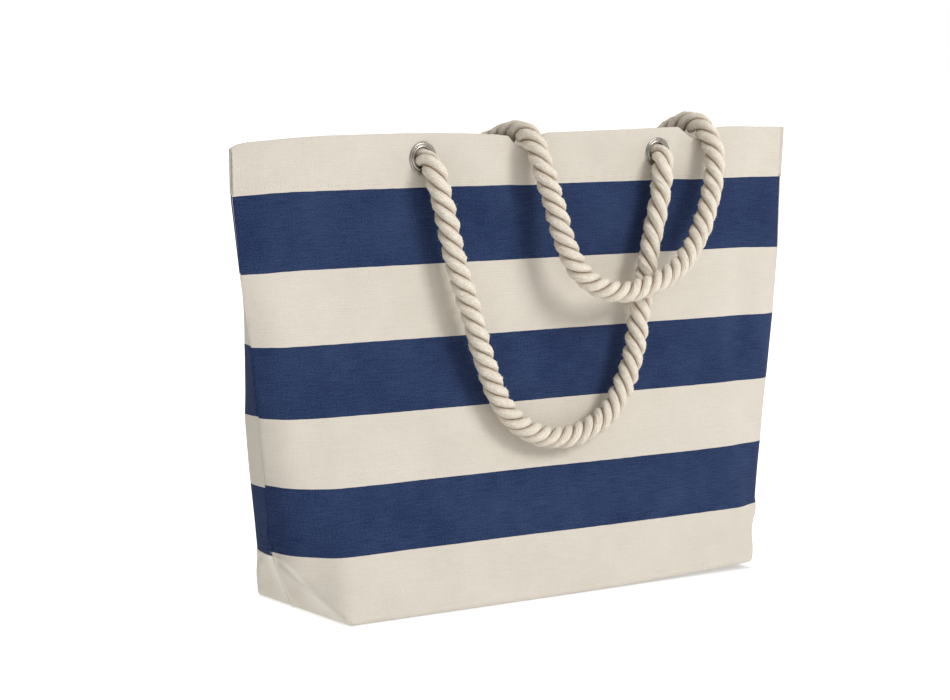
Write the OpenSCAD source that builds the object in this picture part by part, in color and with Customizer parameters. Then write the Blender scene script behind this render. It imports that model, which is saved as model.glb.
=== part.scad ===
// Striped canvas beach bag with two rope handles.
// +Z is up, the front face looks along -Y, and the origin is the middle of the base, at the floor.
// The mouth stands a little ahead of the base's middle, because both handles hang in front of it.

/* [Bag] */
// Width of the flat base
base_w = 436; // [400:2:470]
// Depth of the flat base, front to back
base_d = 154; // [140:2:170]
// Height of the rim above the floor
bag_h = 400; // [380:5:430]
// Width of the mouth, side seam to side seam
mouth_w = 593; // [570:1:620]
// How far the side seams stand ahead of the base's middle
lean = 18; // [12:1:22]
// Thickness of the canvas
canvas_t = 1.6; // [1.2:0.1:2]
// Height of the turned-in hem round the mouth
hem_h = 46; // [42:1:52]

/* [Eyelets] */
// Distance between the two eyelets of one handle
eyelet_spacing = 251; // [240:1:256]
// How far both handles sit to the right of the bag's middle
handle_shift = 11.5; // [4:0.5:12]
// Depth of the eyelets' centres below the rim
eyelet_drop = 21; // [20:1:24]
// Radius of the hole that the rope is squeezed through
eyelet_hole_r = 8.75; // [8.5:0.05:9]
// Outer radius of the eyelet's flange
eyelet_flange_r = 13.5; // [12.5:0.1:14]

/* [Rope] */
// Diameter of the rope
rope_d = 20; // [18:0.5:20]
// Radius of the knots inside the bag
knot_r = 16.5; // [15.5:0.5:16.5]

/* [Hidden] */

// Height at which the boxed corners end and the side seams begin
corner_h = 56;
// How far the side seam stands out at the top of the boxed corner
corner_out = 38;
// How far the front and back creases spread towards the mouth
crease_flare = 21;
crease_flare_from = 100;
// The front and back fall straight from the rim down to this height, then curve out to the base
waist_h = 0.75 * bag_h;
// Rims ahead of and behind the side seams
front_gap = 10;
back_gap = 34;
hem_t = 1.2;
levels = [0, corner_h, 100, 150, 200, 250, waist_h, bag_h];

seam_allowance_w = 10;
seam_allowance_t = 1.2;
folded_seam_t = 2.4;
fold_gap = 0.3;

eyelet_z = bag_h - eyelet_drop;
eyelet_x = [handle_shift - eyelet_spacing / 2, handle_shift + eyelet_spacing / 2];
barrel_t = 1;
flange_t = 1.6;
washer_t = 1;
curl_t = 0.8;
fit_gap = 0.05;

rope_r = rope_d / 2;
squeezed_r = eyelet_hole_r - 0.3;
// How far the squeezed rope reaches inside, from the canvas face to where it turns aside to its knot
end_inside = 14;
turn_r = 6;
rope_sides = 10;
round_fn = 48;
// Knots stand beside their eyelets, so that front and rear knots lie next to each other
knot_aside = 24;
knot_y = -6;
knot_drop = 5;
tail_r = 9;
tail_len = 34;
whipping_t = 1.2;
whipping_h = 9;

// Handle routes, straight from eyelet to eyelet, in the order left to right
front_route = [
    [-111, -42, 366], [-106, -42, 348], [-102, -44, 330], [-93, -46, 289], [-81, -49, 251],
    [-68, -51, 208], [-53, -53, 172], [-33, -55, 149], [-2, -56, 136], [31, -56, 138],
    [64, -55, 155], [86, -53, 189], [95, -51, 214], [100, -49, 237], [106, -48, 262],
    [111, -46, 282], [119, -44, 309], [127, -43, 338], [130, -42, 353], [131, -42, 366],
];
rear_route = [
    [-4, -43, 376], [-2, -47, 363], [2, -50, 348], [6, -54, 329], [10, -58, 309],
    [20, -63, 284], [34, -66, 270], [52, -69, 262], [70, -70, 260], [93, -70, 264],
    [112, -69, 270], [131, -66, 279], [148, -62, 293], [161, -58, 308], [172, -54, 326],
    [181, -50, 344], [187, -46, 362], [190, -43, 376],
];
// Necks of the rear handle, from behind its eyelets over both rims
left_neck = [
    [-119, 29, 380], [-98, 30, 380], [-72, 30, 380], [-50, 30, 381], [-34, 29, 383],
    [-22, 25, 387], [-14, 18, 391], [-9, 8, 396], [-7, -3, 399], [-6, -15, 400], [-6, -26, 398],
];
right_neck = [
    [132, 29, 380], [143, 29, 380], [155, 30, 381], [167, 29, 384], [176, 25, 389],
    [182, 18, 395], [186, 9, 401], [188, -2, 405], [189, -14, 405], [190, -26, 401],
];

// ---- outline of the bag at a height: left seam, front creases, right seam, back creases ----
function front_off(z) = front_gap + (base_d / 2 - lean - front_gap) * pow(max(0, 1 - z / waist_h), 2);
function back_off(z) = back_gap + (base_d / 2 + lean - back_gap) * pow(max(0, 1 - z / waist_h), 2);
function crease_x(z) = base_w / 2
    + crease_flare * pow(max(0, (z - crease_flare_from) / (bag_h - crease_flare_from)), 2);
function seam_x(z) = z < corner_h
    ? base_w / 2 + corner_out * z / corner_h
    : base_w / 2 + corner_out
        + (mouth_w / 2 - base_w / 2 - corner_out) * (z - corner_h) / (bag_h - corner_h);
function seam_y(z) = -lean * min(1, z / corner_h);
function outline(z) = [
    [-seam_x(z), seam_y(z)],
    [-crease_x(z), -lean - front_off(z)],
    [crease_x(z), -lean - front_off(z)],
    [seam_x(z), seam_y(z)],
    [crease_x(z), -lean + back_off(z)],
    [-crease_x(z), -lean + back_off(z)],
];

function unit(v) = v / norm(v);
function inward(a, b) = let(d = unit(b - a)) [-d[1], d[0]];
// A counter-clockwise outline moved inwards by t on every side
function inset(p, t) = [
    for (i = [0 : len(p) - 1])
        let(
            n1 = inward(p[(i + len(p) - 1) % len(p)], p[i]),
            n2 = inward(p[i], p[(i + 1) % len(p)])
        ) p[i] + (n1 + n2) * t / (1 + n1 * n2)
];

// A closed solid through outlines of equal length, one for each height. Each wall is split along the
// fold that runs up from a base corner to the seam above it.
module loft(outlines, heights) {
    n = len(outlines[0]);
    last = len(heights) - 1;
    points = [for (k = [0 : last]) for (p = outlines[k]) [p[0], p[1], heights[k]]];
    walls = [
        for (k = [0 : last - 1], i = [0 : n - 1])
            let(j = (i + 1) % n, a = k * n, b = a + n)
                each i % 3 == 0
                    ? [[a + i, b + i, a + j], [b + i, b + j, a + j]]
                    : [[a + i, b + i, b + j], [a + i, b + j, a + j]]
    ];
    caps = [[for (i = [0 : n - 1]) i], [for (i = [n - 1 : -1 : 0]) last * n + i]];
    polyhedron(points, concat(walls, caps));
}

module bag_volume(t, heights) {
    loft([for (z = heights) inset(outline(z), t)], heights);
}

// Everything ahead of the side seams and the base seam
module front_half() {
    reach = mouth_w;
    over = 1;
    rotate([90, 0, 90])
        linear_extrude(2 * reach, center = true)
            polygon([
                [0, -over], [0, 0], [-lean, corner_h], [-lean, bag_h + over],
                [-reach, bag_h + over], [-reach, -over],
            ]);
}

module rim_drill(r) {
    for (x = eyelet_x)
        translate([x, 0, eyelet_z])
            rotate([90, 0, 0])
                cylinder(h = base_d, r = r, center = true, $fn = round_fn);
}

// Where the rear handle presses the rims down
module rope_dents() {
    rim_dent(-1, [[-21, bag_h + 1], [-18, 385], [6, 385], [9, bag_h + 1]]);
    rim_dent(-1, [[174, bag_h + 1], [177, 387], [202, 387], [205, bag_h + 1]]);
    rim_dent(1, [[-31, bag_h + 1], [-28, 379], [3, 379], [6, bag_h + 1]]);
    rim_dent(1, [[168, bag_h + 1], [171, 383], [199, 383], [202, bag_h + 1]]);
}

// Cuts an outline through the front rim (side -1) or the back one (side 1)
module rim_dent(side, outline) {
    translate([0, side < 0 ? -lean : back_gap + 60, 0])
        rotate([90, 0, 0])
            linear_extrude(60 + (side < 0 ? 0 : back_gap + lean / 2))
                polygon(outline);
}

module bag_shell() {
    inner = concat([canvas_t], [for (i = [1 : len(levels) - 2]) levels[i]], [bag_h + 2]);
    difference() {
        bag_volume(0, levels);
        bag_volume(canvas_t, inner);
        rim_drill(eyelet_hole_r + barrel_t + fit_gap);
        rope_dents();
    }
}

module hem_band() {
    band = [bag_h - hem_h, bag_h];
    opening = [bag_h - hem_h - 1, bag_h + 1];
    difference() {
        bag_volume(canvas_t, band);
        bag_volume(canvas_t + hem_t, opening);
        rim_drill(eyelet_hole_r + barrel_t + fit_gap);
        rope_dents();
    }
}

// ---- sewn canvas ----
module front_panel() {
    color("ivory") intersection() { bag_shell(); front_half(); }
}

module back_panel() {
    color("ivory") difference() { bag_shell(); front_half(); }
}

module front_hem() {
    color("antiquewhite") intersection() { hem_band(); front_half(); }
}

module back_hem() {
    color("antiquewhite") difference() { hem_band(); front_half(); }
}

// The sewn allowance that stands inside along a side seam; side is -1 for left and 1 for right
module side_seam(side) {
    from_edge = 12;
    low = corner_h + 6;
    high = bag_h - 2;
    behind_seam = 2.6;
    color("antiquewhite")
        translate([0, -lean + behind_seam, 0])
            rotate([90, 0, 0])
                linear_extrude(seam_allowance_t, center = true)
                    polygon([
                        [side * (seam_x(low) - from_edge), low],
                        [side * (seam_x(high) - from_edge), high],
                        [side * (seam_x(high) - from_edge - seam_allowance_w), high],
                        [side * (seam_x(low) - from_edge - seam_allowance_w), low],
                    ]);
}

module left_side_seam() { side_seam(-1); }
module right_side_seam() { side_seam(1); }

// The allowance of the seam along the middle of the base, pressed flat
module base_seam() {
    length = base_w - 2 * (2 * canvas_t + seam_allowance_w + 2);
    color("antiquewhite")
        translate([-length / 2, -seam_allowance_w / 2, canvas_t + fold_gap])
            cube([length, seam_allowance_w, folded_seam_t]);
}

// The allowance across a boxed corner, pressed flat on the base
module corner_seam(side) {
    middle = base_w / 2 - 2 * canvas_t - seam_allowance_w / 2;
    length = base_d - 8 * canvas_t;
    color("antiquewhite")
        translate([side * middle, 0, canvas_t + fold_gap + folded_seam_t / 2])
            cube([seam_allowance_w, length, folded_seam_t], center = true);
}

module left_corner_seam() { corner_seam(-1); }
module right_corner_seam() { corner_seam(1); }

// ---- eyelets: a rolled flange and barrel outside, a washer inside ----
function face_y(side) = side < 0 ? -lean - front_gap : -lean + back_gap;
// Places an eyelet part drawn along +Z, pointing out of the front (side -1) or the back (side 1)
module at_rim(x, side) {
    translate([x, face_y(side), eyelet_z])
        rotate([side < 0 ? 90 : -90, 0, 0])
            children();
}

module eyelet(x, side) {
    inside = canvas_t + hem_t + washer_t + curl_t + 2 * fit_gap;
    middle_r = (eyelet_hole_r + eyelet_flange_r) / 2;
    color("silver")
        at_rim(x, side)
            rotate_extrude($fn = round_fn)
                union() {
                    translate([eyelet_hole_r, -inside]) square([barrel_t, inside + flange_t / 2]);
                    translate([eyelet_hole_r, -inside]) square([2 * barrel_t, curl_t]);
                    intersection() {
                        translate([middle_r, 0])
                            scale([1, 2 * flange_t / (eyelet_flange_r - eyelet_hole_r)])
                                circle(d = eyelet_flange_r - eyelet_hole_r, $fn = round_fn);
                        translate([eyelet_hole_r, fit_gap])
                            square([eyelet_flange_r - eyelet_hole_r, flange_t]);
                    }
                }
}

module washer(x, side) {
    inner_r = eyelet_hole_r + barrel_t + fit_gap;
    color("gainsboro")
        at_rim(x, side)
            translate([0, 0, -canvas_t - hem_t - fit_gap - washer_t])
                difference() {
                    cylinder(h = washer_t, r = eyelet_flange_r, $fn = round_fn);
                    translate([0, 0, -1]) cylinder(h = washer_t + 2, r = inner_r, $fn = round_fn);
                }
}

module front_left_eyelet() { eyelet(eyelet_x[0], -1); }
module front_right_eyelet() { eyelet(eyelet_x[1], -1); }
module rear_left_eyelet() { eyelet(eyelet_x[0], 1); }
module rear_right_eyelet() { eyelet(eyelet_x[1], 1); }
module front_left_washer() { washer(eyelet_x[0], -1); }
module front_right_washer() { washer(eyelet_x[1], -1); }
module rear_left_washer() { washer(eyelet_x[0], 1); }
module rear_right_washer() { washer(eyelet_x[1], 1); }

// ---- rope ----
// The squeezed rope through an eyelet, from inside the bag to outside
module rope_end(x, side) {
    outside = side < 0 ? 8 : 11;
    color("wheat")
        at_rim(x, side)
            translate([0, 0, -end_inside])
                cylinder(h = end_inside + outside, r = squeezed_r, $fn = round_fn);
}

// A knot beside its eyelet, the turn of rope that leads to it and the short tail that hangs from it.
// side is -1 for a front eyelet and 1 for a rear one; aside is -1 for a knot to its left and 1 to its right
function knot_x(x, aside) = x + aside * knot_aside;
module knot(x, side, aside) {
    to_end = [-aside * knot_aside, face_y(side) - side * end_inside - knot_y];
    color("wheat")
        translate([knot_x(x, aside), knot_y, eyelet_z - knot_drop]) {
            sphere(r = knot_r, $fn = round_fn);
            translate([0, 0, -tail_len]) cylinder(h = tail_len, r = tail_r, $fn = round_fn);
            rotate([0, 90, atan2(to_end[1], to_end[0])])
                cylinder(h = norm(to_end), r = turn_r, $fn = round_fn);
        }
}

module front_left_rope_end() { rope_end(eyelet_x[0], -1); }
module front_right_rope_end() { rope_end(eyelet_x[1], -1); }
module rear_left_rope_end() { rope_end(eyelet_x[0], 1); }
module rear_right_rope_end() { rope_end(eyelet_x[1], 1); }
module front_left_knot() { knot(eyelet_x[0], -1, -1); }
module front_right_knot() { knot(eyelet_x[1], -1, 1); }
module rear_left_knot() { knot(eyelet_x[0], 1, 1); }
module rear_right_knot() { knot(eyelet_x[1], 1, -1); }

// Twine bound round each rope's cut end, to stop it unlaying
module rope_end_whippings() {
    low = eyelet_z - knot_drop - tail_len + 3;
    color("tan")
        for (x = [for (e = eyelet_x, s = [-1, 1]) knot_x(e, s)])
            translate([x, knot_y, low])
                difference() {
                    cylinder(h = whipping_h, r = tail_r + whipping_t, $fn = round_fn);
                    translate([0, 0, -1])
                        cylinder(h = whipping_h + 2, r = tail_r + fit_gap, $fn = round_fn);
                }
}

// A tube along a route: each ring stands square to the route, turned about the direction steady
module rope_tube(route, steady) {
    last = len(route) - 1;
    points = [
        for (i = [0 : last])
            let(
                along = unit(route[min(i + 1, last)] - route[max(i - 1, 0)]),
                side = unit(cross(steady, along)),
                up = cross(along, side)
            )
                for (k = [0 : rope_sides - 1])
                    route[i] + rope_r * (
                        side * cos(360 * k / rope_sides) + up * sin(360 * k / rope_sides)
                    )
    ];
    walls = [
        for (i = [0 : last - 1], k = [0 : rope_sides - 1])
            let(j = (k + 1) % rope_sides, a = i * rope_sides, b = a + rope_sides)
                each [[a + k, b + k, b + j], [a + k, b + j, a + j]]
    ];
    caps = [
        [for (k = [0 : rope_sides - 1]) k],
        [for (k = [rope_sides - 1 : -1 : 0]) last * rope_sides + k],
    ];
    polyhedron(points, concat(walls, caps));
}

module rear_left_rope_neck() { color("wheat") rope_tube(left_neck, [0, 0, 1]); }
module rear_right_rope_neck() { color("wheat") rope_tube(right_neck, [0, 0, 1]); }
module front_rope_loop() { color("wheat") rope_tube(front_route, [0, 1, 0]); }
module rear_rope_loop() { color("wheat") rope_tube(rear_route, [0, 1, 0]); }

front_panel();
back_panel();
front_hem();
back_hem();
left_side_seam();
right_side_seam();
base_seam();
left_corner_seam();
right_corner_seam();
front_left_eyelet();
front_right_eyelet();
rear_left_eyelet();
rear_right_eyelet();
front_left_washer();
front_right_washer();
rear_left_washer();
rear_right_washer();
front_left_rope_end();
front_right_rope_end();
rear_left_rope_end();
rear_right_rope_end();
front_left_knot();
front_right_knot();
rear_left_knot();
rear_right_knot();
rope_end_whippings();
rear_left_rope_neck();
rear_right_rope_neck();
front_rope_loop();
rear_rope_loop();
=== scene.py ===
import math

import bmesh
import bpy
import numpy as np
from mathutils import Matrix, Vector


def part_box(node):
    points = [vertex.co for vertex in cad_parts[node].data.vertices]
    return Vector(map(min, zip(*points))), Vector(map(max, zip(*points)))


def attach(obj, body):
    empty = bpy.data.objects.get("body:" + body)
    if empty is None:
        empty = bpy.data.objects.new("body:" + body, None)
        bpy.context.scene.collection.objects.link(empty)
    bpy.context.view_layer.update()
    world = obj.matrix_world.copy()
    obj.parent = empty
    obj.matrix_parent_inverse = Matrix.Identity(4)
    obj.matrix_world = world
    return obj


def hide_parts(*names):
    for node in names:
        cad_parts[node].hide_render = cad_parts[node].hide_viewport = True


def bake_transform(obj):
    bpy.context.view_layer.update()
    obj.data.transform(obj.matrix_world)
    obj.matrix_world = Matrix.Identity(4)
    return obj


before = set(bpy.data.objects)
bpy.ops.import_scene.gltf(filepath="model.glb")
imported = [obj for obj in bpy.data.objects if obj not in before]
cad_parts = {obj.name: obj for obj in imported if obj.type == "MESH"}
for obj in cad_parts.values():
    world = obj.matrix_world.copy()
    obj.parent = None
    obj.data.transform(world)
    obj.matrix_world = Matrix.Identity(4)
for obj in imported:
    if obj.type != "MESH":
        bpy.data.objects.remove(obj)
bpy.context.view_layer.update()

# ---------------- Camera
# A long lens at about the height of the rim, looking at the bag's front from its left.
camera_place = Vector((-1.2744, -1.8042, 0.4572))
camera_turn = math.radians(34.32)
camera_dip = math.radians(6.465)
sensor_width_mm = 36
lens_mm = 95.46
camera = bpy.data.objects.new("camera", bpy.data.cameras.new("camera"))
camera.data.sensor_width = sensor_width_mm
camera.data.lens = lens_mm
camera.location = camera_place
looking = Vector((
    math.sin(camera_turn) * math.cos(camera_dip),
    math.cos(camera_turn) * math.cos(camera_dip),
    -math.sin(camera_dip),
))
camera.rotation_mode = "QUATERNION"
camera.rotation_quaternion = looking.to_track_quat("-Z", "Y")
bpy.context.scene.collection.objects.link(camera)
bpy.context.scene.camera = camera


# ---------------- Rope finish
# Soft three-strand cotton rope: natural cream, a little fuzzy, with fine yarns laid along each strand
# and grey-brown painted shade down in the grooves between the strands.
class Socket:
    """A node's output. An expression on it adds the Math nodes that work it out."""

    def __init__(self, tree, output):
        self.tree = tree
        self.output = output

    def math(self, operation, *values):
        inputs = dict(enumerate((self, *values)))
        made = self.tree.node("ShaderNodeMath", {"operation": operation}, inputs)
        return Socket(self.tree, made.outputs[0])

    def __add__(self, other):
        return self.math("ADD", other)

    def __sub__(self, other):
        return self.math("SUBTRACT", other)

    def __rsub__(self, other):
        return self * -1 + other

    def __mul__(self, other):
        return self.math("MULTIPLY", other)

    def __gt__(self, other):
        return self.math("GREATER_THAN", other)

    def __lt__(self, other):
        return self.math("LESS_THAN", other)

    def sine(self):
        return self.math("SINE")

    def power(self, exponent):
        return self.math("POWER", exponent)

    __radd__ = __add__
    __rmul__ = __mul__


class Tree:
    """A node tree, and the one way that nodes are added to it."""

    def __init__(self, node_tree):
        self.node_tree = node_tree

    def node(self, kind, settings=None, inputs=None):
        made = self.node_tree.nodes.new(kind)
        for setting, value in (settings or {}).items():
            setattr(made, setting, value)
        for key, value in (inputs or {}).items():
            if isinstance(value, Socket):
                self.node_tree.links.new(value.output, made.inputs[key])
            else:
                made.inputs[key].default_value = value
        return made

    def out(self, kind, settings=None, inputs=None, output=0):
        return Socket(self, self.node(kind, settings, inputs).outputs[output])

    def parts(self, vector):
        """A vector's three numbers, each as a socket."""
        return [Socket(self, part) for part in self.node("ShaderNodeSeparateXYZ", None, {0: vector}).outputs]


class Finish(Tree):
    """One material, drawn on a piece's own UV map, which is in metres of cloth or rope."""

    def __init__(self, name, roughness=0.9, sheen=0.0):
        self.material = bpy.data.materials.new(name)
        self.material.use_nodes = True
        super().__init__(self.material.node_tree)
        self.shader = self.node_tree.nodes["Principled BSDF"]
        self.shader.inputs["Roughness"].default_value = roughness
        self.shader.inputs["Sheen Weight"].default_value = sheen
        self.shader.inputs["Sheen Roughness"].default_value = 0.5

    def uv(self):
        return self.parts(self.out("ShaderNodeUVMap", {"uv_map": "cloth"}))[:2]

    def spots(self, size, detail=2.0, stretch=(1.0, 1.0, 1.0), source="UV"):
        """Soft noise about 0.5, with spots of this size in metres, stretched along an axis."""
        if source == "UV":
            place = self.out("ShaderNodeUVMap", {"uv_map": "cloth"})
        else:
            place = self.out("ShaderNodeTexCoord", output="Object")
        scale = tuple(1 / (size * s) for s in stretch)
        mapped = self.out("ShaderNodeMapping", None, {"Vector": place, "Scale": scale})
        noise = {"Vector": mapped, "Scale": 1.0, "Detail": detail, "Roughness": 0.6}
        return self.out("ShaderNodeTexNoise", {"noise_dimensions": "3D"}, noise, "Fac")

    def mix(self, share, first, second):
        """One colour towards another by a share that varies over the surface."""
        inputs = {0: share, 6: first, 7: second}
        return self.out("ShaderNodeMix", {"data_type": "RGBA", "clamp_factor": True}, inputs, 2)

    def colour(self, value):
        self.node_tree.links.new(value.output, self.shader.inputs["Base Color"])

    def relief(self, height, depth):
        """Bumps from a height between about 0 and 1, this many metres deep."""
        bump = self.node("ShaderNodeBump", None, {"Strength": 1.0, "Distance": depth, "Height": height})
        self.node_tree.links.new(bump.outputs[0], self.shader.inputs["Normal"])


rope_cream = (0.73, 0.64, 0.515, 1)
rope_light = (0.93, 0.865, 0.755, 1)
# The colour of the painted shade in the grooves between the strands
rope_painted_groove_shade = (0.40, 0.30, 0.21, 1)
yarns_round_strand = 13
yarn_turns_per_m = 420
yarn_bend = 5
groove_narrowness = 3
groove_shade = 4.2
fuzz_spot = 0.0021
patch_spot = 0.010
yarn_spot = 0.006
rope_bump = 0.0010

rope_finish = Finish("cotton rope", roughness=0.97, sheen=0.12)
rope_finish.shader.inputs["Specular IOR Level"].default_value = 0.15
around, along = rope_finish.uv()
rope_fuzz = rope_finish.spots(fuzz_spot, 4.0, source="Object")
rope_patches = rope_finish.spots(patch_spot, 2.0, source="Object")
yarn_waver = rope_finish.spots(yarn_spot, 1.0, source="Object")
yarn_angle = around * (2 * math.pi * yarns_round_strand) + along * yarn_turns_per_m
yarn_wave = (yarn_angle + yarn_waver * yarn_bend).sine()
# A strand's own middle line faces out at 0 and 1 round it, and its groove, at a half, is painted darker as
# shade
into_groove = (around - 0.5).math("ABSOLUTE") * -2 + 1
painted_shade_share = into_groove.power(groove_narrowness) * groove_shade
# Each pattern's share of the light, less what keeps their sum near a half
yarn_shade = yarn_wave * 0.20 + rope_fuzz * 1.9 + rope_patches * 0.9 - 0.92
rope_tone = rope_finish.mix(yarn_shade, rope_cream, rope_light)
rope_finish.colour(rope_finish.mix(painted_shade_share, rope_tone, rope_painted_groove_shade))
rope_finish.relief(yarn_wave * 0.16 + rope_fuzz * 0.60, rope_bump)


# ---------------- Rope handles
# Two lengths of 20 mm three-strand cotton rope. Each is pushed through two metal eyelets, which
# squeeze it, and knotted inside. The front one hangs in front; the rear one comes over both rims.
rope_radius = 0.010
squeezed_share = 0.845
strand_out = 0.465
strand_thick = 0.495
strand_wide = 1.13
# The lay tightens towards the bottom of the loop
lay_places = [0.0, 0.07, 0.30, 0.45, 0.60, 0.80, 1.0]
lay_lengths = [0.052, 0.0455, 0.041, 0.036, 0.038, 0.045, 0.052]
ring_step = 0.0016
ring_points = 26
span_points = 24
# How much each strand swells and thins along the rope, its radians a metre, and its shift on each strand
swellings = ((0.03, 310, 2.1), (0.02, 173, 1))
lump = 0.022
yarn_ridge = 0.8
yarn_ridge_turns = 170
strand_clearance = 0.01
least_outward = 0.02
fuzz_per_m2 = 95000
fuzz_length = 0.0022
fuzz_radius = 0.00006
fuzz_tip = 0.15
fuzz_lean = 1.15
fuzz_seed = 7
# The rope is narrow for this far from an eyelet's middle, and then widens over this much
squeeze_flat = 0.004
squeeze_ease = 0.010

eyelet_low, eyelet_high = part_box("front_left_eyelet")
left_eyelet_x = (eyelet_low.x + eyelet_high.x) / 2
eyelet_z = (eyelet_low.z + eyelet_high.z) / 2
right_low, right_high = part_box("front_right_eyelet")
right_eyelet_x = (right_low.x + right_high.x) / 2
front_face_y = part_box("front_hem")[0].y
back_face_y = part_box("back_hem")[1].y

# Each route's points, in millimetres
front_hang = [
    (-111, -42, 366), (-106, -42, 348), (-102, -44, 330), (-93, -46, 289), (-81, -49, 251), (-68, -51, 208),
    (-53, -53, 172), (-33, -55, 149), (-2, -56, 136), (31, -56, 138), (64, -55, 155), (86, -53, 189),
    (95, -51, 214), (100, -49, 237), (106, -48, 262), (111, -46, 282), (119, -44, 309), (127, -43, 338),
    (130, -42, 353), (131, -42, 366),
]
rear_hang = [
    (-4, -43, 376), (-2, -47, 363), (2, -50, 348), (6, -54, 329), (10, -58, 309), (20, -63, 284),
    (34, -66, 270), (52, -69, 262), (70, -70, 260), (93, -70, 264), (112, -69, 270), (131, -66, 279),
    (148, -62, 293), (161, -58, 308), (172, -54, 326), (181, -50, 344), (187, -46, 362), (190, -43, 376),
]
rear_left_neck = [
    (-112, 26, 379), (-98, 30, 380), (-72, 30, 380), (-50, 30, 381), (-34, 29, 383), (-22, 25, 387),
    (-14, 18, 391), (-9, 8, 396), (-7, -3, 399), (-6, -15, 400), (-6, -26, 398), (-5, -36, 389),
]
rear_right_neck = [
    (190, -36, 390), (190, -26, 401), (189, -14, 405), (188, -2, 405), (186, 9, 401), (182, 18, 395),
    (176, 25, 389), (167, 29, 384), (155, 30, 381), (143, 28, 380), (138, 24, 379),
]
inside_depth = 0.014
leave_depth = 0.001
leave_reach = 0.010


def metres(points):
    return [tuple(value / 1000 for value in point) for point in points]


front_in = front_face_y + inside_depth
rear_in = back_face_y - inside_depth
front_route = [
    (left_eyelet_x, front_in, eyelet_z), (left_eyelet_x, front_face_y - leave_depth, eyelet_z),
    (left_eyelet_x + 0.001, front_face_y - leave_reach, eyelet_z - 0.003),
    *metres(front_hang),
    (right_eyelet_x - 0.002, front_face_y - leave_reach, eyelet_z - 0.003),
    (right_eyelet_x, front_face_y - leave_depth, eyelet_z), (right_eyelet_x, front_in, eyelet_z),
]
rear_route = [
    (left_eyelet_x, rear_in, eyelet_z), (left_eyelet_x, back_face_y, eyelet_z),
    *metres(rear_left_neck + rear_hang + rear_right_neck),
    (right_eyelet_x, back_face_y, eyelet_z), (right_eyelet_x, rear_in, eyelet_z),
]


def unit_rows(vectors):
    return vectors / np.linalg.norm(vectors, axis=1, keepdims=True)


def distances_along(line):
    lengths = np.linalg.norm(np.diff(line, axis=0), axis=1)
    return np.concatenate([[0], np.cumsum(lengths)])


def evenly(line, step):
    """The same line with its points this far apart."""
    travelled = distances_along(line)
    count = max(2, round(travelled[-1] / step) + 1)
    at = np.linspace(0, travelled[-1], count)
    return np.stack([np.interp(at, travelled, line[:, k]) for k in range(3)], axis=1)


def softened(line, step, softness, reach):
    """A line of even steps with its bends softened and its ends kept in place."""
    weights = np.exp(-0.5 * (np.arange(-reach, reach + 1) * step / softness) ** 2)
    weights /= weights.sum()
    before = 2 * line[0] - line[reach:0:-1]
    after = 2 * line[-1] - line[-2:-reach - 2:-1]
    padded = np.vstack([before, line, after])
    return np.stack([np.convolve(column, weights, "valid") for column in padded.T], axis=1)


def smooth_route(points, step, softness=0.004):
    """A smooth line through a route's own points, a Catmull-Rom curve that is then softened."""
    p = np.array(points, float)
    p = np.vstack([2 * p[0] - p[1], p, 2 * p[-1] - p[-2]])
    t = np.linspace(0, 1, span_points, endpoint=False)[:, None]
    pieces = []
    for a, b, c, d in zip(p[:-3], p[1:-2], p[2:-1], p[3:]):
        square = (2 * a - 5 * b + 4 * c - d) * t**2
        cube = (3 * b - a - 3 * c + d) * t**3
        pieces.append((2 * b + (c - a) * t + square + cube) / 2)
    line = evenly(np.vstack([*pieces, p[-2:-1]]), step)
    return evenly(softened(line, step, softness, int(3 * softness / step)), step)


def frames_along(line):
    """At each point of a line: its direction, and two directions across it that don't twist."""
    ahead = unit_rows(np.gradient(line, axis=0))
    across = np.zeros_like(line)
    across[0] = np.cross(ahead[0], (0.0, 0.0, 1.0))
    across[0] /= np.linalg.norm(across[0])
    for i in range(1, len(line)):
        turned = across[i - 1] - ahead[i] * (across[i - 1] @ ahead[i])
        across[i] = turned / np.linalg.norm(turned)
    return ahead, across, np.cross(ahead, across)


def placed(name, data):
    """A new object in the scene, made of this mesh, curve or lamp."""
    made = bpy.data.objects.new(name, data)
    bpy.context.scene.collection.objects.link(made)
    return made


def mesh_of(name, patches, materials):
    """One mesh from grids of points, each with its UVs, a material slot, and whether its rows close."""
    vertices, faces, loops_uv, slots = [], [], [], []
    start = 0
    for points, uv, closes, material_slot in patches:
        rows, columns = points.shape[:2]
        across = columns if closes else columns - 1
        r, c = np.meshgrid(np.arange(rows - 1), np.arange(across), indexing="ij")
        r, c = r.ravel(), c.ravel()
        beyond = (c + 1) % columns
        near, far = r * columns, (r + 1) * columns
        quads = np.stack([near + c, near + beyond, far + beyond, far + c], 1)
        faces.append(quads + start)
        corners = [uv[r, c], uv[r, c + 1], uv[r + 1, c + 1], uv[r + 1, c]]
        loops_uv.append(np.stack(corners, 1).reshape(-1, 2))
        slots.append(np.full(len(quads), material_slot))
        vertices.append(points.reshape(-1, 3))
        start += rows * columns
    mesh = bpy.data.meshes.new(name)
    mesh.from_pydata(np.vstack(vertices).tolist(), [], np.vstack(faces).tolist())
    mesh.uv_layers.new(name="cloth").data.foreach_set("uv", np.vstack(loops_uv).astype(np.float32).ravel())
    mesh.polygons.foreach_set("material_index", np.concatenate(slots).astype(np.int32))
    mesh.polygons.foreach_set("use_smooth", np.ones(len(mesh.polygons), bool))
    for material in materials:
        mesh.materials.append(material)
    return placed(name, mesh)


def merge_doubles(piece, distance=1e-6):
    mesh = bmesh.new()
    mesh.from_mesh(piece.data)
    bmesh.ops.remove_doubles(mesh, verts=mesh.verts, dist=distance)
    bmesh.ops.dissolve_degenerate(mesh, edges=mesh.edges, dist=distance)
    mesh.to_mesh(piece.data)
    mesh.free()


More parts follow.
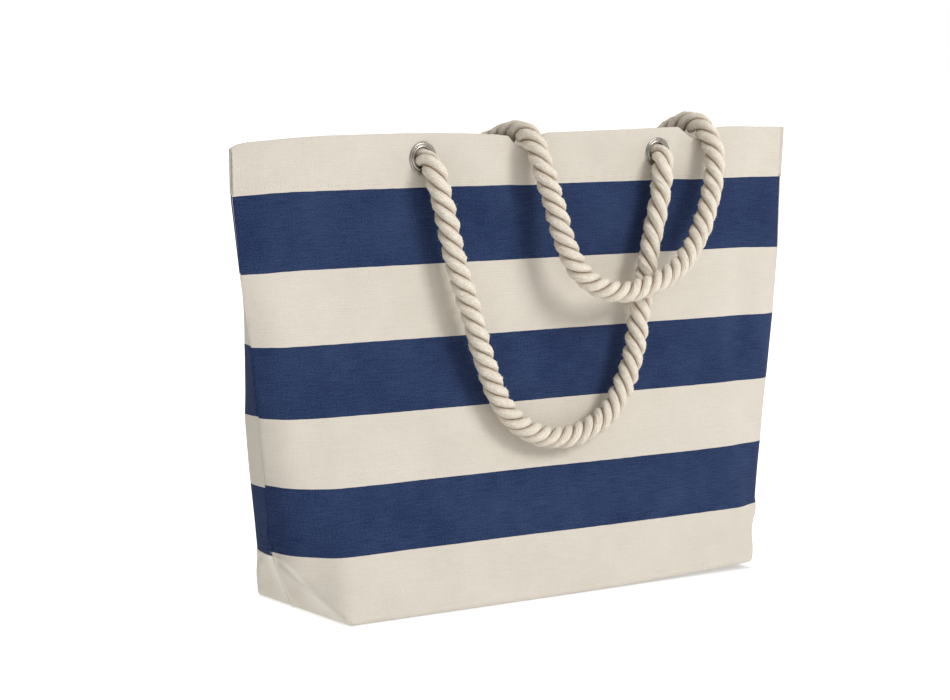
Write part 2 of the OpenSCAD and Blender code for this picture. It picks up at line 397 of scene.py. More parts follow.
def node_group(name, result, **kinds):
    """A geometry node group with these inputs and one result: its tree, and each input's socket."""
    group = bpy.data.node_groups.new(name, "GeometryNodeTree")
    for given_name, kind in kinds.items():
        group.interface.new_socket(given_name, in_out="INPUT", socket_type=f"NodeSocket{kind}")
    group.interface.new_socket(result, in_out="OUTPUT", socket_type="NodeSocketGeometry")
    tree = Tree(group)
    given = tree.node("NodeGroupInput")
    return tree, [Socket(tree, given.outputs[i]) for i in range(len(kinds))]


def made_by(group, piece, **values):
    """The mesh that a geometry node group makes of a piece with these inputs."""
    nodes = piece.modifiers.new(group.name, "NODES")
    nodes.node_group = group
    for socket in group.interface.items_tree:
        if socket.item_type == "SOCKET" and socket.name in values:
            nodes[socket.identifier] = values[socket.name]
    evaluated = piece.evaluated_get(bpy.context.evaluated_depsgraph_get())
    mesh = bpy.data.meshes.new_from_object(evaluated)
    piece.modifiers.remove(nodes)
    return mesh


rope_rng = np.random.default_rng(11)


def fuzz_tree():
    """Geometry nodes that stand short fibres all over a rope."""
    inputs = {"Rope": "Geometry", "Density": "Float", "Length": "Float", "Radius": "Float", "Seed": "Int"}
    tree, (rope, density, length, radius, seed) = node_group("fuzz", "Fuzzy rope", **inputs)
    spread = {"Mesh": rope, "Density": density, "Seed": seed}
    roots = tree.node("GeometryNodeDistributePointsOnFaces", None, spread)
    points, root_turn = Socket(tree, roots.outputs["Points"]), Socket(tree, roots.outputs["Rotation"])
    fibre = tree.out("GeometryNodeMeshCone", {"fill_type": "NONE"},
                     {"Vertices": 3, "Radius Top": fuzz_tip, "Radius Bottom": 1.0, "Depth": 1.0})
    lean = tree.out("FunctionNodeRandomValue", {"data_type": "FLOAT_VECTOR"},
                    {0: (-fuzz_lean, -fuzz_lean, -3.14), 1: (fuzz_lean, fuzz_lean, 3.14), "Seed": seed})
    leaning = tree.out("FunctionNodeRotateRotation", {"rotation_space": "LOCAL"},
                       {"Rotation": root_turn, "Rotate By": lean})
    size = tree.out("ShaderNodeCombineXYZ", None, {"X": radius, "Y": radius, "Z": length})
    at_roots = {"Points": points, "Instance": fibre, "Rotation": leaning, "Scale": size}
    fibres = tree.out("GeometryNodeInstanceOnPoints", None, at_roots)
    real = tree.out("GeometryNodeRealizeInstances", None, {"Geometry": fibres})
    look = {"Geometry": real, "Material": rope_finish.material}
    cotton = tree.out("GeometryNodeSetMaterial", None, look)
    joined = tree.node("GeometryNodeJoinGeometry")
    for part in (cotton, rope):
        tree.node_tree.links.new(part.output, joined.inputs[0])
    tree.node("NodeGroupOutput", None, {"Fuzzy rope": Socket(tree, joined.outputs[0])})
    return tree.node_tree


fuzz = fuzz_tree()


def laid_rope(name, line, radii, first_turn=0.0):
    """Three strands laid round a line, left-handed, each flattened where it meets its neighbours."""
    ahead, across, up = frames_along(line)
    travelled = np.arange(len(line)) * np.linalg.norm(line[1] - line[0])
    lay = np.interp(travelled / travelled[-1], lay_places, lay_lengths)
    turns = np.cumsum(np.gradient(travelled) / lay)
    ring = 2 * math.pi * np.arange(ring_points) / ring_points
    round_uv = np.linspace(0, 1, ring_points + 1)
    patches = []
    for strand in range(3):
        turn = first_turn + 2 * math.pi * (strand / 3 - turns)
        out = np.cos(turn)[:, None] * across + np.sin(turn)[:, None] * up
        side = np.cross(ahead, out)
        outward = strand_out + strand_thick * np.cos(ring)
        sideways = strand_thick * strand_wide * np.sin(ring)
        room = np.maximum(outward, least_outward) * math.tan(math.pi / 3) - strand_clearance
        sideways = np.clip(sideways, -room, room)
        plump = 1
        for share, often, shift in swellings:
            plump = plump + share * np.sin(travelled * often + shift * strand)
        # Loose yarns leave each strand a little lumpy
        lumps = rope_rng.normal(0, 1, (len(line), ring_points))
        lumps = (lumps + np.roll(lumps, 1, 0) + np.roll(lumps, 1, 1) + np.roll(lumps, (1, 1), (0, 1))) / 2
        ridge_angle = yarns_round_strand / 2 * ring[None, :] + yarn_ridge_turns * travelled[:, None]
        lumps += yarn_ridge * np.sin(ridge_angle)
        grown = ((radii * plump)[:, None] * (1 + lump * lumps))[:, :, None]
        section = outward[None, :, None] * out[:, None] + sideways[None, :, None] * side[:, None]
        points = line[:, None] + grown * section
        low = np.repeat(points[:1].mean(1, keepdims=True), ring_points, 1)
        high = np.repeat(points[-1:].mean(1, keepdims=True), ring_points, 1)
        points = np.concatenate([low, points, high])
        along_uv = np.concatenate([travelled[:1], travelled, travelled[-1:]])
        uv = np.stack(np.broadcast_arrays(round_uv[None, :], along_uv[:, None]), 2)
        patches.append((points, uv, True, 0))
    made = mesh_of(name, patches, [rope_finish.material])
    merge_doubles(made)
    made.data = made_by(fuzz, made, Density=float(fuzz_per_m2), Length=fuzz_length, Radius=fuzz_radius,
                        Seed=fuzz_seed)
    return made


def squeezed_in_eyelets(line, face_y):
    """The rope's radius along a line, smaller where the line goes through an eyelet's hole."""
    radii = np.full(len(line), rope_radius)
    for x in (left_eyelet_x, right_eyelet_x):
        far = np.linalg.norm(line - np.array([x, face_y, eyelet_z]), axis=1)
        near = np.clip(1 - (far - squeeze_flat) / squeeze_ease, 0, 1)
        near = near * near * (3 - 2 * near)
        radii = np.minimum(radii, rope_radius * (1 - (1 - squeezed_share) * near))
    return radii


front_line = smooth_route(front_route, ring_step)
rear_line = smooth_route(rear_route, ring_step)
front_radii = squeezed_in_eyelets(front_line, front_face_y)
rear_radii = squeezed_in_eyelets(rear_line, back_face_y)
front_rope = laid_rope("front_handle_rope", front_line, front_radii, first_turn=0.4)
rear_rope = laid_rope("rear_handle_rope", rear_line, rear_radii, first_turn=1.3)
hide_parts("front_rope_loop", "front_left_rope_end", "front_right_rope_end")
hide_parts("rear_rope_loop", "rear_left_rope_end", "rear_right_rope_end",
            "rear_left_rope_neck", "rear_right_rope_neck")
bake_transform(front_rope)
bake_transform(rear_rope)


# ---------------- Canvas finish
# Plain-weave cotton canvas, natural cream, with three broad navy stripes printed on the outside.
# The stripes are slightly wider towards the rim.
cream = (0.625, 0.57, 0.485, 1)
cream_light = (0.765, 0.71, 0.62, 1)
navy = (0.0085, 0.0205, 0.072, 1)
navy_faded = (0.044, 0.072, 0.160, 1)
stripe_edges = [(0.0538, 0.1093), (0.1671, 0.2272), (0.2896, 0.3543)]
thread_pitch = 0.00085
slub_size = 0.004
grain_size = 0.0011
cloud_size = 0.05
print_wander_size = 0.012
print_wander = 0.0006
canvas_bump = 0.0006
# The fold line's painted highlight: its colour, where it starts on the base, its lean, how high it goes and
# how wide it is
fold_highlight_cream = (0.84, 0.79, 0.70, 1)
fold_foot = 0.2185
fold_slope = 0.735
fold_top = 0.053
fold_highlight_width = 0.0030


def canvas(name, printed):
    """Canvas with or without the print. UVs run along and up the cloth, in metres."""
    finish = Finish(name, roughness=0.95, sheen=0.02)
    finish.shader.inputs["Specular IOR Level"].default_value = 0.18
    across_cloth, up_cloth = finish.uv()
    per_m = 2 * math.pi / thread_pitch
    slub = finish.spots(slub_size, 3.0, (5.0, 0.28, 1.0))
    warp_slub = finish.spots(slub_size, 2.0, (0.25, 4.0, 1.0))
    warp = (across_cloth * per_m + slub * 2).sine()
    weft = (up_cloth * per_m + slub * 5).sine()
    weave = warp * weft
    grain = finish.spots(grain_size, 2.0)
    clouds = finish.spots(cloud_size, 2.0)
    # Each pattern's share of the light, less what keeps their sum near a half
    tone = slub * 0.70 + grain * 1.10 + clouds * 0.6 + warp_slub * 0.35 - 0.93
    cloth = finish.mix(tone, cream, cream_light)
    if printed:
        wander = (finish.spots(print_wander_size, 2.0) - 0.5) * print_wander
        height = up_cloth + wander
        ink = None
        for low, high in stripe_edges:
            band = (height > low) * (height < high)
            ink = band if ink is None else ink + band
        worn = slub * 1.0 + grain * 2.1 + clouds * 0.7 + warp_slub * 0.4 - 1.74
        cloth = finish.mix(ink, cloth, finish.mix(worn, navy, navy_faded))
        # The fold up from each base corner is painted pale as a highlight, where the fold catches the light
        place = finish.parts(finish.out("ShaderNodeTexCoord", output="Object"))
        sideways = place[0].math("ABSOLUTE")
        up = place[2]
        from_fold = (sideways - up * fold_slope - fold_foot).math("ABSOLUTE")
        painted_fold_highlight = (from_fold * (-1 / fold_highlight_width) + 1).math("MAXIMUM", 0.0) * (up < fold_top)
        cloth = finish.mix(painted_fold_highlight, cloth, fold_highlight_cream)
    finish.colour(cloth)
    finish.relief(weave * 0.16 + slub * 0.45 + grain * 0.45 + warp_slub * 0.3, canvas_bump)
    return finish


printed_canvas = canvas("printed canvas", printed=True)
plain_canvas = canvas("plain canvas", printed=False)


# ---------------- Front and back panels
# Each panel is one piece of canvas: half of the base, half of each side, and the face. The sides are
# sewn together, the base corners are boxed, and the top is turned in as a hem that holds the eyelets.
panel_low, panel_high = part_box("front_panel")
bag_height = panel_high.z
base_half_depth = -panel_low.y
seam_y_up = -0.018
front_gap = seam_y_up - front_face_y
back_gap = back_face_y - seam_y_up
base_half_width = 0.218
seam_foot_y = 0.018
corner_height = 0.056
waist = 0.75 * bag_height
flare = 0.021
flare_from = 0.100
cloth_thick = 0.0008
hem_depth = 0.046
rim_from = 0.349
hem_lap = 0.0016
base_fold = 0.0035
across_count = 236
row_step = 0.004
low_row_step = 0.002
mm = 0.001
# The side seams bow out a little on their way up: heights, and how far out they stand
seam_heights = [0.0, 0.056, 0.112, 0.169, 0.226, 0.287, 0.350, 0.400]
left_reach = [0.219, 0.2595, 0.2655, 0.2710, 0.2775, 0.2865, 0.2932, 0.2935]
right_reach = [0.214, 0.2590, 0.2700, 0.2775, 0.2840, 0.2890, 0.2905, 0.2935]
# The slack cloth beside each seam stands out, more at the back than at the front
slack_heights = [0.0, 0.020, 0.054, 0.109, 0.167, 0.227, 0.289, 0.330, 0.370, 0.400]
back_slack = [0.0, 0.004, 0.010, 0.015, 0.021, 0.018, 0.011, 0.003, 0.0, 0.0]
front_slack = [0.0, 0.003, 0.006, 0.007, 0.007, 0.006, 0.004, 0.002, 0.0, 0.0]
# The front's right base corner doesn't quite touch the floor
base_lift = 0.0056
lift_from = 0.010
lift_height = 0.050
# The print runs up or down a little beside the seams
pull_heights = [0.0, 0.020, 0.054, 0.109, 0.167, 0.227, 0.290, 0.354, 0.400]
left_pull = [0.0, 0.0, 0.0038, 0.0050, 0.0026, 0.0012, -0.0020, -0.0030, 0.0]
back_pull = [0.0, 0.0, -0.0020, 0.0003, 0.0020, 0.0010, -0.0022, -0.0030, 0.0]
right_pull = [0.0, 0.0, -0.0040, -0.0010, -0.0008, -0.0010, -0.0022, -0.0008, 0.0]
seam_groove = [0.0, 0.0, 0.0, 0.0014, 0.0014, 0.0014, 0.0010, 0.0002, 0.0]
seam_pull_reach = 0.060
groove_width = 0.0045
front_slack_width = 0.060
back_slack_width = 0.084
face_foot = 0.2155
crease_softness = 0.0055
crease_softening = 0.040
# Waves and folds fade out near the seams, near the base and in the hem's inner layer
seam_fade = 0.05
base_fade = 0.08
hem_fold_share = 0.6
hole_reach = 0.0106
# The gentle waves: heights of the broad, crossing, fine and hem ones, and of the pucker along the stitches
broad_wave = 0.0010
cross_wave = 0.0007
fine_wave = 0.0003
hem_wave = 0.0008
hem_wave_z = 0.378
hem_wave_reach = 0.020
pucker = 0.00022
pucker_z = 0.3575
pucker_reach = 0.006
# The soft creases that the ropes' weight draws over the front: two ends (x, z), a depth and a width
rope_creases = (
    ((-0.098, 0.372), (-0.058, 0.318), 0.0013, 0.008), ((-0.072, 0.384), (-0.046, 0.344), -0.0008, 0.009),
    ((-0.128, 0.352), (-0.142, 0.300), 0.0009, 0.010), ((0.152, 0.366), (0.168, 0.318), 0.0010, 0.008),
    ((-0.212, 0.376), (-0.196, 0.380), 0.0016, 0.012), ((-0.186, 0.352), (-0.150, 0.340), 0.0010, 0.010),
    ((0.030, 0.300), (0.070, 0.268), 0.0007, 0.014), ((-0.180, 0.200), (-0.120, 0.250), 0.0008, 0.016),
    ((0.120, 0.120), (0.190, 0.180), 0.0008, 0.018),
)
# The dents under the rear handle: x at the rim and x at the hem's foot
front_dents = ((-0.024, -0.021), (0.164, 0.158))
back_dents = ((-0.034, -0.037), (0.164, 0.162))
dent_foot = 0.352
dent_depth = 0.0024
dent_width = 0.009
# Each rim: places across the mouth in millimetres, and how far the rim is above or below its height
front_rim = [
    (-297, -14), (-293, -10), (-287, -6.8), (-278, -5.2), (-262, -4), (-248, -2.9), (-234, -2), (-208, -0.8),
    (-130, -0.2), (-90, -0.6), (-65, -1.3), (-36, -2.8), (-23, -4.0), (-17, -11), (-12, -13.5), (1, -13.5),
    (7, -9), (12, -2.6), (16, -1.6), (53, -1.0), (107, 0.0), (140, 0.7), (163, 1.2), (170, -4), (176, -9),
    (190, -10), (199, -7), (205, 0.2), (215, 0.8), (236, 0.8), (255, 0), (281, -0.3), (297, -1),
]
back_rim = [
    (-297, -14), (-290, -11), (-280, -9), (-260, -8), (-200, -6.5), (-150, -5.5), (-100, -5), (-50, -5.5),
    (-35, -9), (-28, -17), (-20, -20.5), (-2, -20), (4, -13), (11, -6), (30, -4.5), (120, -3.5), (156, -4),
    (166, -8), (174, -12), (189, -13), (194, -8), (199, -2.5), (206, -1.5), (240, -1.5), (285, -1.5),
    (297, -1),
]


def seam_x(z, reach=left_reach):
    return float(np.interp(z, seam_heights, reach))


def crease_x(z):
    return base_half_width + flare * max(0.0, (z - flare_from) / (bag_height - flare_from)) ** 2


def seam_y(z):
    return seam_foot_y + (seam_y_up - seam_foot_y) * min(1.0, z / corner_height)


def face_y(z, side):
    """How far ahead (side -1) or behind (side 1) a face stands at a height."""
    gap = front_gap if side < 0 else back_gap
    base = base_half_depth - side * seam_y_up
    return seam_y_up + side * (gap + (base - gap) * max(0.0, 1 - z / waist) ** 2)


def corner_points(z, side):
    """One panel's outline at a height, from its left seam to its right one, before it is rounded."""
    face = face_y(z, side)
    halves = []
    for reach in (left_reach, right_reach):
        half = [(-seam_x(z, reach), seam_y(z))]
        foot = reach[0]
        if z < corner_height:
            share = z / corner_height
            fold_x = foot + (seam_x(corner_height, reach) - foot) * share
            half.append((-fold_x, side * base_half_depth + (seam_y_up - side * base_half_depth) * share))
        half.append((-crease_x(z) + base_half_width - max(foot, face_foot), face))
        halves.append(half)
    return np.array(halves[0] + [(-x, y) for x, y in reversed(halves[1])])


def rounded_outline(z, side):
    """The panel's outline at a height, with soft creases, sharper towards the base."""
    corners = corner_points(z, side)
    travelled = distances_along(corners)
    fine = np.linspace(0, travelled[-1], 4 * across_count + 1)
    step = fine[1]
    line = np.stack([np.interp(fine, travelled, corners[:, k]) for k in range(2)], 1)
    softness = crease_softness + crease_softening * z
    soft = softened(line, step, softness, int(3 * softness / step) + 1)
    return soft[::4], fine[::4] - fine[-1] / 2


def inward_normals(line, side):
    tangent = unit_rows(np.gradient(line, axis=0))
    return np.stack([-tangent[:, 1], tangent[:, 0]], 1) * -side


def rim_offset(x, side):
    """How far the rim stands above its height along the mouth. The rear handle presses it down."""
    places = np.array(front_rim if side < 0 else back_rim) * mm
    return np.interp(x, places[:, 0], places[:, 1])


def ripple(x, z, side):
    """The canvas's own gentle waves, in metres out of the face. Their turns are in radians a metre."""
    phase = 0.0 if side < 0 else 1.9
    broad = broad_wave * np.sin(11 * x + 6 * z + phase) * np.sin(9 * z + 1.0 + phase)
    broad += cross_wave * np.sin(23 * x - 17 * z + 0.6 + phase)
    broad += cross_wave * np.sin(37 * x + 26 * z + 2.2 + phase) * np.sin(19 * x - 41 * z + phase)
    fine = fine_wave * np.sin(61 * x + 31 * z + 2.0) * np.sin(43 * z - 20 * x + phase)
    in_hem = math.exp(-(((z - hem_wave_z) / hem_wave_reach) ** 2))
    by_stitches = math.exp(-(((z - pucker_z) / pucker_reach) ** 2))
    hem = hem_wave * np.sin(88 * x + phase) * in_hem
    return broad + fine + hem + pucker * np.sin(520 * x + 3 * np.sin(60 * x)) * by_stitches


def from_line(points, start, end):
    """Each point's distance from a straight line between two places."""
    start, end = np.array(start), np.array(end)
    along = np.clip((points - start) @ (end - start) / ((end - start) @ (end - start)), 0, 1)
    return np.linalg.norm(points - (start + along[:, None] * (end - start)), axis=1)


def raised(points, start, end, height, width):
    """How far a soft-edged ridge between two places lifts each point."""
    return height * np.exp(-((from_line(points, start, end) / width) ** 2))


def folds(points, side):
    """Ridges and tucks by the boxed corners, the side seams and the ropes, in metres out of the cloth."""
    mirrored = np.column_stack([-np.abs(points[:, 0]), points[:, 1:]])
    face = points[:, 1].mean()
    # The fold up from the base corner to the side seam
    base = (-base_half_width, side * base_half_depth, 0.0)
    top = (-seam_x(corner_height), seam_y_up, corner_height)
    out = raised(mirrored, base, top, height=0.0014, width=0.0042)
    # The peaked pucker where the corner's seam meets the side seam, and the hollow in its middle
    peak = (-seam_x(0.075), seam_y_up, 0.074)
    leg_foot = (-seam_x(0.056), seam_y_up + side * 0.012, 0.052)
    out += raised(mirrored, peak, leg_foot, height=0.0016, width=0.0030)
    hollow_top = (-seam_x(0.064), seam_y_up, 0.064)
    hollow_foot = (-seam_x(0.05), seam_y_up, 0.050)
    out -= raised(mirrored, hollow_top, hollow_foot, height=0.0022, width=0.0045)
    # The tuck along the bottom of the bag's end
    tuck = (-base_half_width - 0.001, side * 0.068, 0.0052)
    tuck_end = (-base_half_width - 0.001, side * 0.004, 0.0062)
    out -= raised(mirrored, tuck, tuck_end, height=0.0026, width=0.0017)
    for start, end, depth, width in rope_creases if side < 0 else ():
        out -= raised(points, (start[0], face, start[1]), (end[0], face, end[1]), depth, width)
    for rim_x, foot_x in front_dents if side < 0 else back_dents:
        out -= raised(points, (rim_x, face, bag_height), (foot_x, face, dent_foot), dent_depth, dent_width)
    return out


def panel_rows():
    """Each row of a panel: its height, how far in it stands, and its height on the flat cloth."""
    rows = []
    lap = hem_lap / 2
    half = cloth_thick / 2
    for z in np.linspace(bag_height - hem_depth, bag_height - lap, 12):
        rows.append((z, hem_lap + half, 2 * bag_height - z))
    for turn in np.linspace(0, math.pi, 7)[1:-1]:
        rows.append((bag_height - lap + lap * math.sin(turn), half + lap + lap * math.cos(turn), bag_height))
    low_part = 0.028
    for z in np.linspace(bag_height - lap, low_part, round((bag_height - low_part) / row_step)):
        rows.append((z, half, z))
    for z in np.linspace(low_part, base_fold, round((low_part - base_fold) / low_row_step))[1:]:
        rows.append((z, half, z))
    for turn in np.linspace(0, math.pi / 2, 5)[1:]:
        low = base_fold * (1 - math.sin(turn))
        rows.append((low + half, half + base_fold * (1 - math.cos(turn)), low))
    return rows


def panel(name, side, print_shift):
    """The whole panel as one sheet: hem inside, over the rim, down the face, and under to the base seam."""
    points, uvs, outward = [], [], []
    for z, inset, up_cloth in panel_rows():
        line, along_cloth = rounded_outline(z, side)
        normals = inward_normals(line, side)
        from_seam = along_cloth[-1] - np.abs(along_cloth)
        window = np.clip(from_seam / seam_fade, 0, 1) * min(1.0, z / base_fade)
        slack = float(np.interp(z, slack_heights, front_slack if side < 0 else back_slack))
        slack_width = front_slack_width if side < 0 else back_slack_width
        out = ripple(line[:, 0], z, side) * window
        bulge = np.clip(from_seam / slack_width, 0, 1) ** 0.7
        out = out + slack * (1 - np.cos(2 * np.pi * bulge)) / 2
        flat_place = np.column_stack([line, np.full(len(line), z)])
        out = out + folds(flat_place, side) * (1 if inset < hem_lap else hem_fold_share)
        place = line + normals * (inset - out)[:, None]
        # Sewn edges turn in to meet at the seam
        groove = float(np.interp(z, pull_heights, seam_groove))
        groove = groove * np.clip(1 - from_seam / groove_width, 0, 1) ** 2
        place[:, 0] -= np.sign(place[:, 0]) * groove
        near_rim = np.clip((z - rim_from) / (bag_height - rim_from), 0, 1) ** 1.3
        height = z + rim_offset(line[:, 0], side) * near_rim
        near_seam = np.clip(1 - from_seam / seam_pull_reach, 0, 1) ** 1.5
        left = float(np.interp(z, pull_heights, left_pull if side < 0 else back_pull))
        right = float(np.interp(z, pull_heights, right_pull))
        pull = np.where(line[:, 0] < 0, left, right) * near_seam
        if side < 0:
            lifted_end = np.clip((line[:, 0] - lift_from) / (base_half_width - lift_from), 0, 1) ** 1.5
            height = height + base_lift * lifted_end * max(0.0, 1 - z / lift_height)
        points.append(np.column_stack([place, height]))
        printed_height = up_cloth + print_shift - (pull if inset < hem_lap else 0)
        uvs.append(np.column_stack([along_cloth + 0.5, np.broadcast_to(printed_height, len(place))]))
        outward.append(np.column_stack([-normals, np.zeros(len(place))]))
    edge = points[-1]
    seam_line = np.column_stack([
        np.linspace(-base_half_width, base_half_width, len(edge)),
        np.full(len(edge), seam_foot_y),
        np.full(len(edge), cloth_thick / 2),
    ])
    for share in np.linspace(0, 1, 17)[1:]:
        points.append(edge * (1 - share) + seam_line * share)
        uvs.append(np.column_stack([points[-1][:, 0] + 0.5, np.full(len(edge), -share * base_half_depth)]))
    grid, uv = np.array(points), np.array(uvs)
    shape = (grid[:, ::-1], uv[:, ::-1]) if side < 0 else (grid, uv)
    made = mesh_of(name, [(*shape, False, 0)], [printed_canvas.material, plain_canvas.material])
    punched = bmesh.new()
    punched.from_mesh(made.data)
    holes = [
        face for face in punched.faces
        for x in (left_eyelet_x, right_eyelet_x)
        if math.hypot(face.calc_center_median().x - x, face.calc_center_median().z - eyelet_z) < hole_reach
    ]
    bmesh.ops.delete(punched, geom=holes, context="FACES")
    punched.to_mesh(made.data)
    punched.free()
    solid = made.modifiers.new("cloth", "SOLIDIFY")
    solid.thickness = cloth_thick
    solid.offset = 0
    solid.material_offset = 1
    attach(made, "bag")
    return made, grid, outward


front_panel, front_grid, front_outward = panel("front_canvas", -1, 0.0)
back_panel, back_grid, back_outward = panel("back_canvas", 1, -0.002)
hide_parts("front_panel", "front_hem")
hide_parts("back_panel", "back_hem")


# ---------------- Stitches
# Lockstitches in thick cotton thread hold each hem down, just above its edge, right round the mouth.
# Each one lies in the cloth and dips at both its ends.
thread_finish = Finish("cotton thread", roughness=0.85, sheen=0.1)
thread_twist = thread_finish.spots(0.0006, 1.0, source="Object")
thread_dark = (0.62, 0.56, 0.47, 1)
thread_light = (0.86, 0.81, 0.72, 1)
thread_finish.colour(thread_finish.mix(thread_twist, thread_dark, thread_light))
thread_finish.relief(thread_twist, 0.0002)
stitch_gap = 0.0036
stitch_length = 0.0029
thread_radius = 0.00042
hem_stitch_z = 0.3585
thread_lift = 0.0001


def stitch_tree():
    """Geometry nodes that lay one stitch at each step along a line of thread."""
    inputs = {"Line": "Geometry", "Gap": "Float", "Length": "Float", "Radius": "Float", "Slant": "Float"}
    tree, (line, gap, length, radius, slant) = node_group("stitches", "Stitches", **inputs)
    steps = tree.out("GeometryNodeResampleCurve", {"mode": "LENGTH"}, {"Curve": line, "Length": gap})
    bead = tree.out("GeometryNodeMeshUVSphere", None, {"Segments": 8, "Rings": 5, "Radius": 1.0})
    size = tree.out("ShaderNodeCombineXYZ", None, {"X": radius, "Y": radius, "Z": length * 0.5})
    tangent = tree.out("GeometryNodeInputTangent")
    laid = tree.out("FunctionNodeAlignRotationToVector", {"axis": "Z"}, {"Vector": tangent})
    tip = tree.out("ShaderNodeCombineXYZ", None, {"X": slant})
    slanted = tree.out("FunctionNodeRotateRotation", {"rotation_space": "LOCAL"},
                       {"Rotation": laid, "Rotate By": tip})
    at_steps = {"Points": steps, "Instance": bead, "Rotation": slanted, "Scale": size}
    stitches = tree.out("GeometryNodeInstanceOnPoints", None, at_steps)
    real = tree.out("GeometryNodeRealizeInstances", None, {"Geometry": stitches})
    smooth = tree.out("GeometryNodeSetShadeSmooth", None, {"Geometry": real})
    look = {"Geometry": smooth, "Material": thread_finish.material}
    done = tree.out("GeometryNodeSetMaterial", None, look)
    tree.node("NodeGroupOutput", None, {"Stitches": done})
    return tree.node_tree


stitches = stitch_tree()


def sewn(name, line, gap=stitch_gap, length=stitch_length, radius=thread_radius, slant=0.0):
    """A row of stitches along a line, as a plain mesh that rides with the bag."""
    curve = bpy.data.curves.new(name, "CURVE")
    curve.dimensions = "3D"
    spline = curve.splines.new("POLY")
    spline.points.add(len(line) - 1)
    spline.points.foreach_set("co", np.column_stack([line, np.ones(len(line))]).ravel())
    thread = placed(name + "_line", curve)
    mesh = made_by(stitches, thread, Gap=gap, Length=length, Radius=radius, Slant=slant)
    bpy.data.objects.remove(thread)
    made = placed(name, mesh)
    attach(made, "bag")
    return made


rows = panel_rows()
outer_rows = [i for i, (z, inset, up) in enumerate(rows) if inset < hem_lap and z < bag_height - hem_lap]
stitch_row = min(outer_rows, key=lambda i: abs(rows[i][0] - hem_stitch_z))
for name, grid, outward in (("front_hem_stitches", front_grid, front_outward),
                            ("back_hem_stitches", back_grid, back_outward)):
    lifted = grid[stitch_row] + outward[stitch_row] * (cloth_thick / 2 + thread_lift)
    sewn(name, lifted[2:-2])

# ---------------- Seam allowances
# Inside, each seam leaves a strip of two raw edges, 11 mm wide, bound with an overlock stitch.
# The side ones are pressed back, and the one under the base and the corner ones lie flat.
allowance_width = 0.011
two_plies = 0.0016
allowance_step = 0.004
overlock_place = 0.82
overlock_lift = 0.0002
overlock_gap = 0.0026
overlock_length = 0.0042
overlock_radius = 0.00033
overlock_slant = math.radians(68)
seam_inset = 0.0042
seam_start = 0.022
seam_end = 0.016
base_seam_reach = 0.205
corner_seam_x = 0.2135
corner_seam_reach = 0.060


def allowance(name, node, seam, inward, width=allowance_width):
    """A strip that stands this far inward from a seam, with overlock stitches over its free edge."""
    seam = evenly(np.array(seam, float), allowance_step)
    inward = np.array(inward, float)
    inward = inward / np.linalg.norm(inward)
    travelled = np.arange(len(seam)) * allowance_step
    ahead = unit_rows(np.gradient(seam, axis=0))
    lift = np.cross(ahead, inward)
    wave = 0.0009 * np.sin(travelled * 47) + 0.0005 * np.sin(travelled * 131 + 1)
    columns = []
    for share in np.linspace(0, 1, 5):
        columns.append(seam + inward * width * share + lift * (wave * share)[:, None])
    grid = np.stack(columns, axis=1)
    uv = np.stack(np.broadcast_arrays(np.linspace(0, width, 5)[None, :], travelled[:, None]), 2)
    made = mesh_of(name, [(grid, uv, False, 0)], [plain_canvas.material])
    plies = made.modifiers.new("plies", "SOLIDIFY")
    plies.thickness = two_plies
    plies.offset = 0
    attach(made, "bag")
    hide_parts(node)
    edge = seam + inward * width * overlock_place + lift * (wave * overlock_place)[:, None]
    for face, sign in (("upper", 1), ("lower", -1)):
        over = edge + lift * sign * (two_plies / 2 + overlock_lift)
        sewn(f"{name}_{face}_overlock", over, overlock_gap, overlock_length, overlock_radius,
             sign * overlock_slant)
    return made


seam_levels = np.linspace(corner_height + seam_start, bag_height - seam_end, 24)
left_seam = [(-seam_x(z, left_reach) + seam_inset, seam_y_up, z) for z in seam_levels]
right_seam = [(seam_x(z, right_reach) - seam_inset, seam_y_up, z) for z in seam_levels]
allowance("left_side_allowance", "left_side_seam", left_seam, (1, 0.35, 0))
allowance("right_side_allowance", "right_side_seam", right_seam, (-1, 0.35, 0))
inside_floor = cloth_thick + 0.0016
base_line = [(x, seam_foot_y, inside_floor) for x in np.linspace(-base_seam_reach, base_seam_reach, 12)]
allowance("base_allowance", "base_seam", base_line, (0, 1, 0))
for name, node, sign in (("left_corner_allowance", "left_corner_seam", -1),
                         ("right_corner_allowance", "right_corner_seam", 1)):
    corner_ys = np.linspace(-corner_seam_reach, corner_seam_reach, 10)
    corner_line = [(sign * corner_seam_x, y, inside_floor + 0.0022) for y in corner_ys]
    allowance(name, node, corner_line, (-sign, 0, 0.12))

# ---------------- Nickel eyelets and washers
# Each eyelet is pressed brass, nickel plated: a rolled flange outside and a barrel through the hem,
# curled over a flat washer inside. The rope rubs fine scratches into it.
nickel = Finish("nickel plate", roughness=0.26)
nickel.shader.inputs["Metallic"].default_value = 1.0
nickel_dark = (0.27, 0.25, 0.22, 1)
nickel_light = (0.50, 0.47, 0.42, 1)
scratch_size = 0.0007
tarnish_size = 0.006
nickel_marks = nickel.spots(scratch_size, 3.0, (1.0, 1.0, 0.35), source="Object")
nickel_clouds = nickel.spots(tarnish_size, 2.0, source="Object")
nickel_tone = nickel_marks * 0.5 + nickel_clouds * 0.7 - 0.1
nickel.colour(nickel.mix(nickel_tone, nickel_dark, nickel_light))
nickel_rough = nickel_marks * 0.22 + 0.16
nickel.node_tree.links.new(nickel_rough.output, nickel.shader.inputs["Roughness"])
nickel.relief(nickel_marks, 0.00005)
turned_steps = 72
